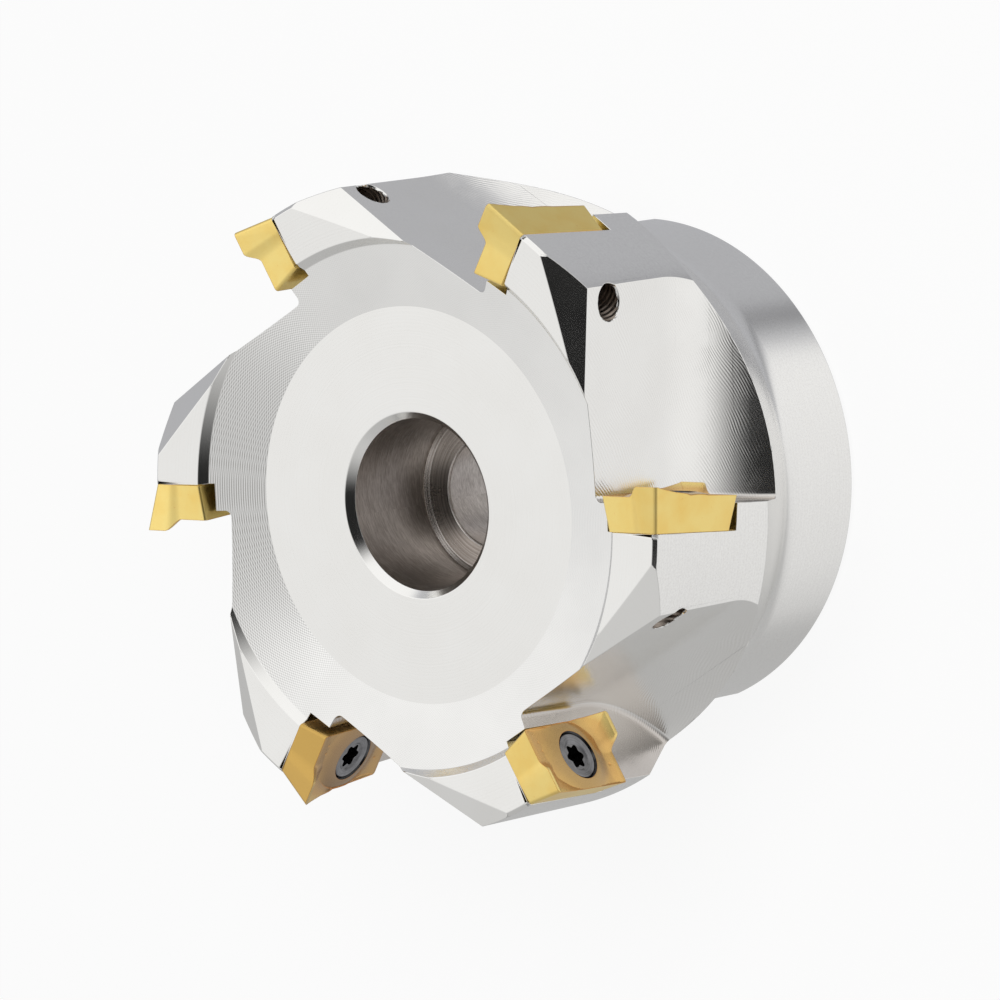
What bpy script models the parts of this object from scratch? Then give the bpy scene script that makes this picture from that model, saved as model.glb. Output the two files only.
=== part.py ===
"""Indexable shoulder milling cutter: a turned and milled body, six inserts and their six screws.

Lengths are in metres and angles in degrees. The cutter stands on its rear face at z = 0, with its axis on +Z,
its cutting end up and its drive slot along Y.
"""

import math

import bmesh
import bpy
from mathutils import Matrix, Vector

# Main sizes
CUTTING_DIAMETER = 0.063
CUTTER_HEIGHT = 0.040
TOOTH_COUNT = 6
FIRST_TOOTH_ANGLE = -4.6
FIT_GAP = 0.0003

# Hub, neck and land, from the rear face up
HUB_INSET = 0.00765
HUB_DIAMETER = CUTTING_DIAMETER - 2 * HUB_INSET
HUB_EDGE_CHAMFER = 0.00095
NECK_FILLET = 0.008
NECK_ANGLE = 30.0
LAND_LENGTH = 0.0167
LAND_SETBACK = 0.0009
LAND_EDGE_CHAMFER = 0.00035

# Dished front face, measured down from the cutting plane
RIM_SETBACK = 0.0006
STEP_TOP_SETBACK = 0.0009
STEP_FOOT_SETBACK = 0.00167
STEP_INSET = 0.00625
STEP_RUN = 0.00055
RING_WIDTH = 0.0060
STEP_TOP_DIAMETER = CUTTING_DIAMETER - 2 * STEP_INSET
STEP_FOOT_DIAMETER = STEP_TOP_DIAMETER - 2 * STEP_RUN
DISC_SETBACK = 0.0032
DISC_DIAMETER = STEP_FOOT_DIAMETER - 2 * RING_WIDTH

# Arbor bore, screw counterbore and drive slot
ARBOR_BORE_DIAMETER = 0.022
ARBOR_BORE_DEPTH = 0.020
ARBOR_BORE_CHAMFER = 0.0008
WEB_HOLE_DIAMETER = 0.0105
COUNTERBORE_DIAMETER = 0.0162
COUNTERBORE_DEPTH = 0.0110
COUNTERBORE_CHAMFER = 0.0006
SLOT_WIDTH = 0.0104
SLOT_DEPTH = 0.0063
SLOT_CHAMFER = 0.0005
SLOT_FILLET = 0.0008

# Insert: base size, edge length, relief and thickness at its edges and nose
INSERT_BASE_LENGTH = 0.0110
INSERT_BASE_WIDTH = 0.0056
END_RELIEF = 14.3
HEEL_SETBACK = 0.0003
SIDE_RELIEF = 10.9
NOSE_RADIUS = 0.0004
HEEL_RADIUS = 0.0003
NOSE_HEIGHT = 0.00415
HEEL_HEIGHT = 0.00315
FLOOR_HEIGHT = 0.0030
BOSS_HEIGHT = 0.0035
NOSE_STEP_INNER = -0.0002
NOSE_STEP_OUTER = 0.0013
LAND_WIDTH_HEEL = 0.0010
LAND_WIDTH_NOSE = 0.0026

# Insert seat: tilts of its floor and how far the nose leads the tooth's radial line
AXIAL_RAKE = 5.0
RADIAL_RAKE = 4.8
NOSE_LEAD = 0.00041

# Insert screw and its holes
SCREW_SHANK_DIAMETER = 0.0025
SCREW_HEAD_DIAMETER = 0.0038
SCREW_HEAD_SINK = 0.0003
SCREW_HEAD_RIM = 0.0001
SCREW_CONE_ANGLE = 60.0
SCREW_LENGTH = 0.0078
SCREW_TIP_CHAMFER = 0.0003
RECESS_DIAMETER = 0.0025
RECESS_LOBE = 0.00016
RECESS_DEPTH = 0.0010
RECESS_FLARE = 0.0002

# Chip gullet and insert pocket, in the seat's own frame
GULLET_FLOOR = 0.00245
GULLET_WALL = 0.0053
GULLET_ARC_START = 0.0051
GULLET_ARC_RADIUS = 0.014
GULLET_CORNER_RADIUS = 0.00065
POCKET_WALL_GAP = 0.0007
POCKET_END_GAP = 0.0005
POCKET_CORNER_RELIEF = 0.0009

# Relief facet milled on the back of each tooth's front face
FACET_TILT = 30.1
FACET_TURN = -53.2
FACET_ANGLE = -11.9

# Mesh density
TURN_STEPS = 96
HOLE_STEPS = 24
ARC_STEPS = 10
CORNER_STEPS = 4
RAKE_CELLS_LONG = 18
RAKE_CELLS_WIDE = 16
OVERRUN = 0.002

# Values worked out from the sizes above
LAND_RADIUS = CUTTING_DIAMETER / 2 - LAND_SETBACK
RIM_HEIGHT = CUTTER_HEIGHT - RIM_SETBACK
LAND_REAR = RIM_HEIGHT - LAND_LENGTH
DISC_HEIGHT = CUTTER_HEIGHT - DISC_SETBACK
END_SLOPE = math.tan(math.radians(END_RELIEF))
SIDE_SLOPE = math.tan(math.radians(SIDE_RELIEF))
NOSE_LENGTH = INSERT_BASE_LENGTH / 2 + END_SLOPE * NOSE_HEIGHT
NOSE_WIDTH = INSERT_BASE_WIDTH / 2 + SIDE_SLOPE * NOSE_HEIGHT
SHANK_HOLE_RADIUS = SCREW_SHANK_DIAMETER / 2 + FIT_GAP
CONE_SLOPE = math.tan(math.radians(SCREW_CONE_ANGLE / 2))
CONE_GAP = FIT_GAP / math.cos(math.radians(SCREW_CONE_ANGLE / 2))
INSERT_HOLE_RADIUS = SCREW_HEAD_DIAMETER / 2 + CONE_GAP + (SCREW_HEAD_SINK + SCREW_HEAD_RIM) * CONE_SLOPE


def clear_scene():
    """Remove what the scene holds."""
    for item in list(bpy.data.objects):
        bpy.data.objects.remove(item)


def metal(name, colour, roughness):
    """A plain metal for one kind of piece."""
    material = bpy.data.materials.new(name)
    material.use_nodes = True
    shader = material.node_tree.nodes["Principled BSDF"]
    shader.inputs["Base Color"].default_value = (*colour, 1.0)
    shader.inputs["Metallic"].default_value = 1.0
    shader.inputs["Roughness"].default_value = roughness
    return material


def arc(centre, radius, start, end, steps):
    """Points on an arc from one angle to another, both ends kept."""
    points = []
    for step in range(steps + 1):
        angle = math.radians(start + (end - start) * step / steps)
        points.append((centre[0] + radius * math.cos(angle), centre[1] + radius * math.sin(angle)))
    return points


def finish(shape, name):
    """Turn a bmesh into a mesh with its faces pointing out."""
    bmesh.ops.recalc_face_normals(shape, faces=shape.faces)
    mesh = bpy.data.meshes.new(name)
    shape.to_mesh(mesh)
    shape.free()
    return mesh


def turned(outline, steps):
    """Spin an outline of (radius, height) points about Z into a closed solid."""
    shape = bmesh.new()
    points = [shape.verts.new((radius, 0.0, height)) for radius, height in outline]
    edges = [shape.edges.new(pair) for pair in zip(points, points[1:])]
    if min(outline[0][0], outline[-1][0]) > 0:
        edges.append(shape.edges.new((points[-1], points[0])))
    bmesh.ops.spin(shape, geom=points + edges, cent=(0, 0, 0), axis=(0, 0, 1), angle=2 * math.pi,
                   steps=steps, use_merge=True, use_duplicate=False)
    bmesh.ops.remove_doubles(shape, verts=shape.verts, dist=0.000001)
    return shape


def lofted(rings):
    """Bridge closed rings of points, one above the other, and cap both ends."""
    shape = bmesh.new()
    loops = [[shape.verts.new(point) for point in ring] for ring in rings]
    count = len(loops[0])
    for lower, upper in zip(loops, loops[1:]):
        for index in range(count):
            after = (index + 1) % count
            shape.faces.new((lower[index], lower[after], upper[after], upper[index]))
    shape.faces.new(reversed(loops[0]))
    shape.faces.new(loops[-1])
    return shape


def copies(shape, places):
    """One shape that holds a copy of another at each place."""
    single = finish(shape, "single")
    pattern = bmesh.new()
    for place in places:
        first = len(pattern.verts)
        pattern.from_mesh(single)
        pattern.verts.ensure_lookup_table()
        bmesh.ops.transform(pattern, matrix=place, verts=pattern.verts[first:])
    bpy.data.meshes.remove(single)
    return pattern


def add_object(name, mesh, material=None):
    """Link a mesh to the scene, with round faces smooth and real edges sharp."""
    item = bpy.data.objects.new(name, mesh)
    bpy.context.collection.objects.link(item)
    if material:
        mesh.materials.append(material)
        mesh.shade_smooth()
        mesh.set_sharp_from_angle(angle=math.radians(30))
    return item


def cut(item, name, shape):
    """Cut a shape from an object and keep it as a hidden cutter."""
    cutter = add_object(name, finish(shape, name))
    cutter.hide_render = True
    cutter.display_type = "WIRE"
    modifier = item.modifiers.new(name, "BOOLEAN")
    modifier.operation = "DIFFERENCE"
    modifier.object = cutter


def settled(item, name):
    """The mesh of an object with its cuts made. The object and its cutters go."""
    graph = bpy.context.evaluated_depsgraph_get()
    mesh = bpy.data.meshes.new_from_object(item.evaluated_get(graph))
    mesh.name = name
    used = [modifier.object for modifier in item.modifiers]
    for done in [item] + used:
        bpy.data.objects.remove(done)
    return mesh


def tooth_place(index):
    """Where a tooth's own frame stands: X is radial, Z is the cutter's axis."""
    return Matrix.Rotation(math.radians(FIRST_TOOTH_ANGLE + 360.0 * index / TOOTH_COUNT), 4, "Z")


def seat_place():
    """The insert seat in its tooth's frame: X runs forward, Y outward and Z up from the seat."""
    upright = Matrix(((0, 1, 0), (0, 0, 1), (1, 0, 0))).to_4x4()
    turn = Matrix.Rotation(math.radians(-RADIAL_RAKE), 4, "Z")
    turn = turn @ Matrix.Rotation(math.radians(-AXIAL_RAKE), 4, "X") @ upright
    tip = Vector((math.sqrt((CUTTING_DIAMETER / 2) ** 2 - NOSE_LEAD ** 2), NOSE_LEAD, CUTTER_HEIGHT))
    return Matrix.Translation(tip - turn @ Vector((NOSE_LENGTH, NOSE_WIDTH, NOSE_HEIGHT))) @ turn


def all_teeth():
    """The six tooth frames."""
    return [tooth_place(index) for index in range(TOOTH_COUNT)]


def all_seats():
    """The six seat frames."""
    return [place @ seat_place() for place in all_teeth()]


def body_outline():
    """The turned section of the body, from the rear face round the outside to the bore."""
    hub = HUB_DIAMETER / 2
    bore = ARBOR_BORE_DIAMETER / 2
    counterbore = COUNTERBORE_DIAMETER / 2
    neck_end = hub + NECK_FILLET * (1 - math.cos(math.radians(NECK_ANGLE)))
    neck_end_height = LAND_REAR - (LAND_RADIUS - neck_end) / math.tan(math.radians(NECK_ANGLE))
    neck_centre = (hub + NECK_FILLET, neck_end_height - NECK_FILLET * math.sin(math.radians(NECK_ANGLE)))
    outline = [(bore + ARBOR_BORE_CHAMFER, 0.0), (hub - HUB_EDGE_CHAMFER, 0.0), (hub, HUB_EDGE_CHAMFER)]
    outline += arc(neck_centre, NECK_FILLET, 180.0, 180.0 - NECK_ANGLE, CORNER_STEPS)
    outline += [
        (LAND_RADIUS, LAND_REAR),
        (LAND_RADIUS, RIM_HEIGHT - LAND_EDGE_CHAMFER),
        (LAND_RADIUS - LAND_EDGE_CHAMFER, RIM_HEIGHT),
        (STEP_TOP_DIAMETER / 2, CUTTER_HEIGHT - STEP_TOP_SETBACK),
        (STEP_FOOT_DIAMETER / 2, CUTTER_HEIGHT - STEP_FOOT_SETBACK),
        (DISC_DIAMETER / 2, DISC_HEIGHT),
        (counterbore + COUNTERBORE_CHAMFER, DISC_HEIGHT),
        (counterbore, DISC_HEIGHT - COUNTERBORE_CHAMFER),
        (counterbore, DISC_HEIGHT - COUNTERBORE_DEPTH),
        (WEB_HOLE_DIAMETER / 2, DISC_HEIGHT - COUNTERBORE_DEPTH),
        (WEB_HOLE_DIAMETER / 2, ARBOR_BORE_DEPTH),
        (bore, ARBOR_BORE_DEPTH),
        (bore, ARBOR_BORE_CHAMFER),
    ]
    return outline


def drive_slot():
    """The slot across the rear face, with broken edges and rounded bottom corners."""
    half = SLOT_WIDTH / 2
    corner = half - SLOT_FILLET
    section = [(-half - SLOT_CHAMFER - OVERRUN, -OVERRUN), (-half - SLOT_CHAMFER, 0.0), (-half, SLOT_CHAMFER)]
    section += arc((-corner, SLOT_DEPTH - SLOT_FILLET), SLOT_FILLET, 180.0, 90.0, CORNER_STEPS)
    section += arc((corner, SLOT_DEPTH - SLOT_FILLET), SLOT_FILLET, 90.0, 0.0, CORNER_STEPS)
    section += [(half, SLOT_CHAMFER), (half + SLOT_CHAMFER, 0.0), (half + SLOT_CHAMFER + OVERRUN, -OVERRUN)]
    reach = HUB_DIAMETER / 2 + OVERRUN
    return lofted([[(x, y, z) for x, z in section] for y in (-reach, reach)])


def gullet_plan():
    """The gullet's plan on its floor: a straight wall that runs out in an arc behind the insert."""
    wide = CUTTING_DIAMETER / 8
    run_out = math.degrees(math.acos(1 - (GULLET_WALL + wide) / GULLET_ARC_RADIUS))
    centre = (-GULLET_ARC_START, GULLET_ARC_RADIUS - GULLET_WALL)
    front = CUTTER_HEIGHT / 4
    return [(front, wide), (front, -GULLET_WALL)] + arc(centre, GULLET_ARC_RADIUS, -90.0, -90.0 - run_out, ARC_STEPS)


def inset_plan(plan, amount):
    """The gullet's plan with its wall moved in by the corner radius's share."""
    moved = [plan[0], (plan[1][0], plan[1][1] + amount)]
    for before, point in zip(plan[1:], plan[2:]):
        along = (Vector(point) - Vector(before)).normalized()
        moved.append((point[0] + along.y * amount, point[1] - along.x * amount))
    return moved


def gullet():
    """The chip gullet of one tooth, milled square to the seat, with a rounded corner at its floor."""
    plan = gullet_plan()
    height = CUTTING_DIAMETER / 2.6
    rings = []
    for amount, rise in arc((GULLET_CORNER_RADIUS, GULLET_CORNER_RADIUS), GULLET_CORNER_RADIUS, 270.0, 180.0,
                            CORNER_STEPS):
        rings.append([(x, y, GULLET_FLOOR + rise) for x, y in inset_plan(plan, amount)])
    rings.append([(x, y, GULLET_FLOOR + height) for x, y in plan])
    return lofted(rings)


def pocket():
    """The insert's pocket: a floor under its base, and walls behind its inner side and its heel."""
    level = GULLET_FLOOR - FIT_GAP / 2
    wall = -INSERT_BASE_WIDTH / 2 - SIDE_SLOPE * level - POCKET_WALL_GAP + SIDE_SLOPE * level / 2
    end = -INSERT_BASE_LENGTH / 2 - END_SLOPE * level - POCKET_END_GAP
    front = CUTTER_HEIGHT / 4
    wide = CUTTING_DIAMETER / 8
    top = NOSE_HEIGHT + OVERRUN
    plan = [(front, wide), (front, wall), (end + POCKET_CORNER_RELIEF, wall)]
    plan += arc((end + POCKET_CORNER_RELIEF / 2, wall + POCKET_CORNER_RELIEF / 2),
                POCKET_CORNER_RELIEF / math.sqrt(2), -45.0, -225.0, 2 * CORNER_STEPS)
    plan += [(end, wall + POCKET_CORNER_RELIEF), (end, wide)]
    return lofted([[(x, y, z) for x, y in plan] for z in (-FIT_GAP / 2, top)])


def tapped_hole():
    """The screw's hole: clear round the screw, then narrower out to the back of the tooth."""
    reach = CUTTING_DIAMETER / 5
    screw_end = BOSS_HEIGHT - SCREW_HEAD_SINK - SCREW_LENGTH - 2 * FIT_GAP
    narrow = SCREW_SHANK_DIAMETER / 2
    outline = [(0.0, -reach), (narrow, -reach), (narrow, screw_end), (SHANK_HOLE_RADIUS, screw_end),
               (SHANK_HOLE_RADIUS, OVERRUN), (0.0, OVERRUN)]
    return turned(outline, HOLE_STEPS)


def facet():
    """The relief facet behind a tooth's front face, as a block that rests on the facet's plane."""
    turn = Matrix.Rotation(math.radians(FACET_TURN), 4, "Z") @ Matrix.Rotation(math.radians(FACET_TILT), 4, "Y")
    angle = math.radians(FACET_ANGLE)
    corner = Vector((LAND_RADIUS * math.cos(angle), LAND_RADIUS * math.sin(angle), RIM_HEIGHT))
    long = CUTTING_DIAMETER / 4
    short = CUTTING_DIAMETER / 12
    plan = [(-short, -long), (1.6 * short, -long), (1.6 * short, short), (-short, short)]
    shape = lofted([[(x, y, z) for x, y in plan] for z in (0.0, short)])
    bmesh.ops.transform(shape, matrix=Matrix.Translation(corner) @ turn, verts=shape.verts)
    return shape


def insert_outline(height):
    """The insert's outline at one height: noses at two opposite corners, and end edges that fall back from them."""
    length = INSERT_BASE_LENGTH / 2 + END_SLOPE * height
    width = INSERT_BASE_WIDTH / 2 + SIDE_SLOPE * height
    back = HEEL_SETBACK * height / HEEL_HEIGHT
    half = arc((length - NOSE_RADIUS, width - NOSE_RADIUS), NOSE_RADIUS, 0.0, 90.0, CORNER_STEPS)
    half += arc((back - length + HEEL_RADIUS, width - HEEL_RADIUS), HEEL_RADIUS, 90.0, 180.0, CORNER_STEPS)
    half.append((-length, -NOSE_STEP_OUTER))
    return [(x, y, height) for x, y in half] + [(-x, -y, height) for x, y in half]


def ease(value):
    """A smooth rise from 0 to 1."""
    value = min(max(value, 0.0), 1.0)
    return value * value * (3 - 2 * value)


def mix(low, high, share):
    """A value between two others."""
    return low + (high - low) * share


def falling(distance, width):
    """The share of an edge's height that is left at a distance inside it."""
    return max(0.0, 1 - distance / width) ** 1.4


def edge_ridge(along, across):
    """How far one long edge and its nose stand above the chip floor at a point."""
    run = min(max((along + NOSE_LENGTH) / (2 * NOSE_LENGTH), 0.0), 1.0)
    height = mix(HEEL_HEIGHT, NOSE_HEIGHT, run)
    from_side = max(INSERT_BASE_WIDTH / 2 + SIDE_SLOPE * height - across, 0.0)
    side = (height - FLOOR_HEIGHT) * falling(from_side, mix(LAND_WIDTH_HEEL, LAND_WIDTH_NOSE, run))
    rise = ease((across - NOSE_STEP_INNER) / (NOSE_STEP_OUTER - NOSE_STEP_INNER))
    height = mix(HEEL_HEIGHT, NOSE_HEIGHT, rise)
    from_end = max(INSERT_BASE_LENGTH / 2 + END_SLOPE * height - along, 0.0)
    end = (height - FLOOR_HEIGHT) * falling(from_end, mix(LAND_WIDTH_HEEL, LAND_WIDTH_NOSE, rise))
    return max(side, end)


def rake_height(along, across):
    """The height of the pressed rake face above the insert's base."""
    from_rim = (math.hypot(along, across) - INSERT_HOLE_RADIUS) / INSERT_HOLE_RADIUS
    boss = (BOSS_HEIGHT - FLOOR_HEIGHT) * (1 - ease(from_rim / 0.8))
    return FLOOR_HEIGHT + max(edge_ridge(along, across), edge_ridge(-along, -across), boss)


def gathered(share):
    """A share from -1 to 1, moved so that even steps crowd towards both ends."""
    return share * (1.3 - 0.3 * share * share)


def rake_punch():
    """The punch that presses the chip-breaker: a grid shaped by the rake face, drawn up into a block."""
    shape = bmesh.new()
    bmesh.ops.create_grid(shape, x_segments=RAKE_CELLS_LONG, y_segments=RAKE_CELLS_WIDE, size=1.0)
    for point in shape.verts:
        along = gathered(point.co.x) * (NOSE_LENGTH + FIT_GAP)
        across = gathered(point.co.y) * (NOSE_WIDTH + FIT_GAP)
        point.co = (along, across, rake_height(along, across))
    bmesh.ops.triangulate(shape, faces=shape.faces)
    raised = bmesh.ops.extrude_face_region(shape, geom=shape.faces[:])
    for point in [item for item in raised["geom"] if isinstance(item, bmesh.types.BMVert)]:
        point.co.z = NOSE_HEIGHT + 2 * OVERRUN
    return shape


def insert_hole():
    """The insert's hole, with the cone that the screw head pulls on."""
    cone_foot = BOSS_HEIGHT - (INSERT_HOLE_RADIUS - SHANK_HOLE_RADIUS) / CONE_SLOPE
    top = NOSE_HEIGHT + OVERRUN
    outline = [(0.0, -OVERRUN), (SHANK_HOLE_RADIUS, -OVERRUN), (SHANK_HOLE_RADIUS, cone_foot),
               (INSERT_HOLE_RADIUS, BOSS_HEIGHT), (INSERT_HOLE_RADIUS, top), (0.0, top)]
    return turned(outline, HOLE_STEPS)


def insert_mesh(material):
    """One insert: a tapered blank, pressed on top and drilled."""
    blank = lofted([insert_outline(FIT_GAP / 2), insert_outline(NOSE_HEIGHT + OVERRUN / 4)])
    item = add_object("insert_blank", finish(blank, "insert_blank"), material)
    cut(item, "rake_punch", rake_punch())
    cut(item, "insert_hole", insert_hole())
    return settled(item, "insert")


def recess():
    """The six-lobe recess in the screw head."""
    rings = []
    for depth, spread in ((RECESS_DEPTH, 0.0), (0.0, 0.0), (-RECESS_FLARE, RECESS_FLARE)):
        ring = []
        for step in range(6 * CORNER_STEPS):
            angle = 2 * math.pi * step / (6 * CORNER_STEPS)
            radius = RECESS_DIAMETER / 2 - RECESS_LOBE * (1 - math.cos(6 * angle)) + spread
            ring.append((radius * math.cos(angle), radius * math.sin(angle), -depth))
        rings.append(ring)
    return lofted(rings)


def screw_mesh(material):
    """One insert screw, with its head's top at its origin and its shank along -Z."""
    head = SCREW_HEAD_DIAMETER / 2
    shank = SCREW_SHANK_DIAMETER / 2
    cone_foot = -SCREW_HEAD_RIM - (head - shank) / CONE_SLOPE
    outline = [
        (0.0, -SCREW_LENGTH),
        (shank - SCREW_TIP_CHAMFER, -SCREW_LENGTH),
        (shank, -SCREW_LENGTH + SCREW_TIP_CHAMFER),
        (shank, cone_foot),
        (head, -SCREW_HEAD_RIM),
        (head, 0.0),
        (0.0, 0.0),
    ]
    item = add_object("screw_blank", finish(turned(outline, HOLE_STEPS), "screw_blank"), material)
    cut(item, "recess", recess())
    return settled(item, "insert_screw")


def make_body(material):
    """The body: the turned blank with its slot, gullets, pockets, screw holes and facets cut."""
    body = add_object("body", finish(turned(body_outline(), TURN_STEPS), "body"), material)
    cut(body, "drive_slot", drive_slot())
    cut(body, "gullets", copies(gullet(), all_seats()))
    cut(body, "facets", copies(facet(), all_teeth()))
    cut(body, "pockets", copies(pocket(), all_seats()))
    cut(body, "tapped_holes", copies(tapped_hole(), all_seats()))


def make_inserts(coating, screw_steel):
    """The inserts and their screws, each pair carried by an empty on its seat."""
    insert = insert_mesh(coating)
    screw = screw_mesh(screw_steel)
    for index, place in enumerate(all_seats(), start=1):
        seat = bpy.data.objects.new(f"seat_{index}", None)
        bpy.context.collection.objects.link(seat)
        seat.matrix_world = place
        for name, mesh, height in (("insert", insert, 0.0), ("insert_screw", screw, BOSS_HEIGHT - SCREW_HEAD_SINK)):
            item = bpy.data.objects.new(f"{name}_{index}", mesh)
            bpy.context.collection.objects.link(item)
            item.parent = seat
            item.location = (0.0, 0.0, height)


def main():
    """Model the whole cutter."""
    clear_scene()
    steel = metal("nickel_plated_steel", (0.78, 0.77, 0.74), 0.3)
    coating = metal("gold_coated_carbide", (0.80, 0.58, 0.22), 0.35)
    dark_steel = metal("dark_screw_steel", (0.10, 0.10, 0.11), 0.4)
    make_body(steel)
    make_inserts(coating, dark_steel)


main()
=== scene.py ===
"""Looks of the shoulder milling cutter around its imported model. Lengths are in metres, angles in degrees."""

import math

import bmesh
import bpy
from mathutils import Matrix, Vector


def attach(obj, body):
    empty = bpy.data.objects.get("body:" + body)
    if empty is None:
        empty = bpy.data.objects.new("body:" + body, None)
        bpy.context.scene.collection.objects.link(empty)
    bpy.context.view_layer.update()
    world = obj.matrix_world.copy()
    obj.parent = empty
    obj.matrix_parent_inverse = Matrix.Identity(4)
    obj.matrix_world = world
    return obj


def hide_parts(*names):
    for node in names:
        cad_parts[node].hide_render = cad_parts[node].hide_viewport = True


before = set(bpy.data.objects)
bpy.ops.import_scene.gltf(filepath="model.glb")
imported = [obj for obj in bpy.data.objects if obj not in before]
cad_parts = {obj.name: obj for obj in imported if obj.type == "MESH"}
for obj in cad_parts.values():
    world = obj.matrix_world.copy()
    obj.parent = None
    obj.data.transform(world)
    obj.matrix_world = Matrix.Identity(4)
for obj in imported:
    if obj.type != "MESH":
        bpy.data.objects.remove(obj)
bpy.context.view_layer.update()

# Sizes of the cutter, as in its model
CUTTING_DIAMETER = 0.063
CUTTER_HEIGHT = 0.040
TOOTH_COUNT = 6
FIRST_TOOTH_ANGLE = -4.6
HUB_RADIUS = 0.02385
HUB_EDGE_CHAMFER = 0.00095
NECK_FILLET = 0.008
NECK_ANGLE = 30.0
LAND_RADIUS = 0.030585
RIM_HEIGHT = 0.0394
LAND_REAR = 0.0227
LAND_EDGE_CHAMFER = 0.00035
STEP_TOP = (0.02535, 0.0391)
STEP_FOOT = (0.02466, 0.03833)
DISC_RADIUS = 0.0187
DISC_HEIGHT = 0.0368
ARBOR_BORE_RADIUS = 0.011
ARBOR_BORE_DEPTH = 0.020
ARBOR_BORE_CHAMFER = 0.0008
WEB_HOLE_RADIUS = 0.00525
COUNTERBORE_RADIUS = 0.0081
COUNTERBORE_DEPTH = 0.0110
COUNTERBORE_FILLET = 0.0004
WEB_CHAMFER = 0.00015
COUNTERBORE_CHAMFER = 0.0007
SLOT_WIDTH = 0.0104
SLOT_DEPTH = 0.0063
SLOT_CHAMFER = 0.0005
SLOT_FILLET = 0.0008

# Insert and its seat
BASE_LENGTH = 0.0110
BASE_WIDTH = 0.0056
END_SLOPE = math.tan(math.radians(14.3))
SIDE_SLOPE = math.tan(math.radians(10.9))
HEEL_SETBACK = 0.0005
HONE = 0.000012
NOSE_RADIUS = 0.0004
HEEL_RADIUS = 0.0003
NOSE_HEIGHT = 0.00415
HEEL_HEIGHT = 0.00315
FLOOR_HEIGHT = 0.0030
BOSS_HEIGHT = 0.0035
BOSS_SPREAD = 0.9
NOSE_STEP_INNER = -0.0002
NOSE_STEP_OUTER = 0.0013
SIDE_LAND_HEEL = 0.00025
SIDE_LAND_NOSE = 0.0033
SIDE_LAND_START = 0.0008
END_LAND_NOSE = 0.0028
END_LAND_STEP = 0.0020
END_LAND_HEEL = 0.0009
END_FLAT = 0.0004
NOSE_DROP = 0.0003
DIMPLES = ((0.0044, -0.0020), (0.0044, -0.0011), (-0.0047, 0.0013))
DIMPLE_RADIUS = 0.0002
DIMPLE_DEPTH = 0.00007
NOSE_LENGTH = BASE_LENGTH / 2 + END_SLOPE * NOSE_HEIGHT
NOSE_WIDTH = BASE_WIDTH / 2 + SIDE_SLOPE * NOSE_HEIGHT
AXIAL_RAKE = 5.0
RADIAL_RAKE = 4.8
NOSE_LEAD = 0.00041
INSERT_HOLE_RADIUS = 0.002477
SHANK_HOLE_RADIUS = 0.00155
FIT_GAP = 0.0003
OVERRUN = 0.002

# Insert screw
SHANK_RADIUS = 0.00125
HEAD_RADIUS = 0.00227
HEAD_TOP = 0.00338
HEAD_RIM = 0.00012
HEAD_ROUNDING = 0.0001
HEAD_DISH = 0.00008
CONE_ANGLE = 30.0
SCREW_LENGTH = 0.0078
SCREW_END_CHAMFER = 0.0003
RECESS_RING_OUTER = 0.00154
RECESS_RING_INNER = 0.00134
RECESS_RING_DEPTH = 0.00024
RECESS_RADIUS = 0.00127
RECESS_LOBE = 0.00017
RECESS_DEPTH = 0.0014
RECESS_TAPER = 0.0001

# Gullet, pocket, facet and tapped hole
BLOCK_FRONT = CUTTER_HEIGHT / 4
BLOCK_WIDE = CUTTING_DIAMETER / 8
GULLET_FLOOR = 0.00245
GULLET_WALL = 0.0053
GULLET_ARC_START = 0.0051
GULLET_ARC_RADIUS = 0.014
GULLET_CORNER_RADIUS = 0.00065
POCKET_FLOOR = -0.00015
SEAT_GAP = 0.00001
POCKET_WALL_GAP = 0.0007
POCKET_END_GAP = 0.0003
POCKET_CORNER_RELIEF = 0.0009
FACET_TILT = 30.1
FACET_TURN = -53.2
FACET_ANGLE = -11.9
HOLE_REACH = CUTTING_DIAMETER / 5
THREAD_PITCH = 0.0005
THREAD_RADIUS = 0.00142
THREAD_DEPTH = 0.00007
MOUTH_PLANE = (-0.0875, 0.69, -0.00822)
MOUTH_OUTSIDE = (0.00072, -0.0009)
MOUTH_INSIDE = (0.0, 0.00018)
EDGE_BREAK = 0.00007
EDGE_ANGLE = 22.0
EDGE_WEAR_RADIUS = 0.00009

# Tool marks, as widths and heights on the surface
DISC_MARK_HEIGHT = 0.0000022
DISC_RING_PITCH = 0.00033
DISC_RING_HEIGHT = 0.0000009
SIDE_MARK_HEIGHT = 0.0000012
STEP_MARK_HEIGHT = 0.0000014
GROUND_MARK_HEIGHT = 0.0000014
BORE_MARK_HEIGHT = 0.000005
BORE_RING_HEIGHT = 0.00002
SPECKLE_HEIGHT = 0.0000022
BRAID_ANGLE = 169.0
BRAID_PITCH = 0.00024
BRAID_OFFSET = 67 * BRAID_PITCH
BRAID_HEIGHT = 0.0000012
MILL_SLANT = 0.6
MILL_PITCH = 0.00031
MILL_HEIGHT = 0.0000085
MILL_SWAY = 0.0024

# Mesh density
TURN_STEPS = 360
HOLE_STEPS = 64
RECESS_STEPS = 120
ARC_STEPS = 44
FILLET_STEPS = 14
ROUND_STEPS = 10
SHARP_ANGLE = 9.5
NORMAL_LIMIT = 3.0
RAKE_CELLS = (130, 76)

# How far round from a tooth a face still belongs to its seat
SEAT_BEFORE = 30.0
SEAT_SECTOR = 120.0
SEAT_TOLERANCE = 0.0001

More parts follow.
